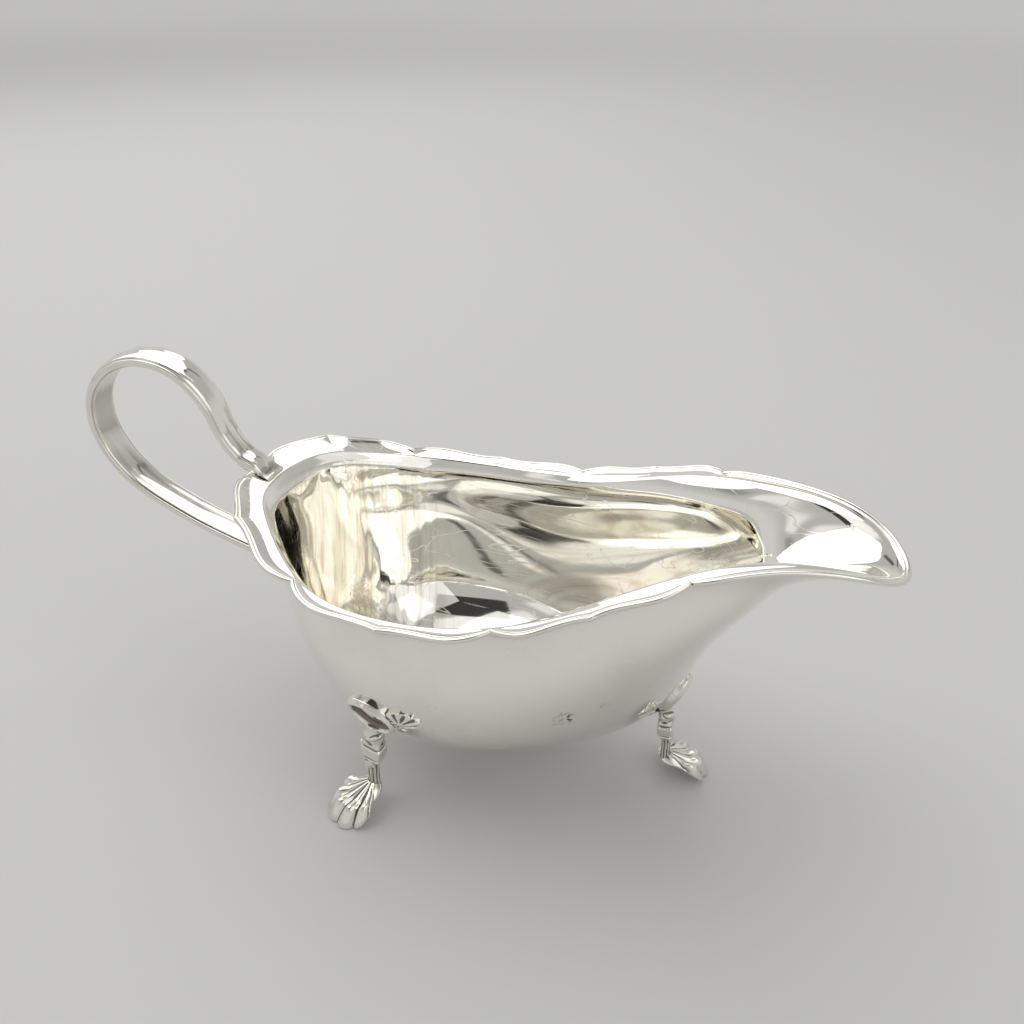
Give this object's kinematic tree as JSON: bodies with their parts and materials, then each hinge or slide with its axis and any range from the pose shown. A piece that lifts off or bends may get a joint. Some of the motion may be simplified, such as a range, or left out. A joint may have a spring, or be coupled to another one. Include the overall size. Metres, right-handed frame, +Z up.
{
  "type": "sauce boat",
  "caption": "Footed silver sauce boat: raised bowl with long pouring spout, turned-out scalloped rim with edge wire, flying loop handle and cast feet with dished knees and shells.",
  "frame": {"origin": "on the table, under the middle of the whole boat", "axes": "+X toward the spout's tip, +Y to the left side of the boat seen from the handle, +Z up"},
  "size_m": [0.1632, 0.0694, 0.0799],
  "materials": {
    "sheet_silver": "polished silver with fine wear scratches and a trace of tarnish inside",
    "cast_silver": "polished cast silver, darker in its grooves"
  },
  "bodies": {
    "root": {"bowl": "sheet_silver", "edge_wire": "sheet_silver", "handle": "cast_silver", "foot_front": "cast_silver", "foot_rear_left": "cast_silver", "foot_rear_right": "cast_silver"}
  },
  "joints": []
}
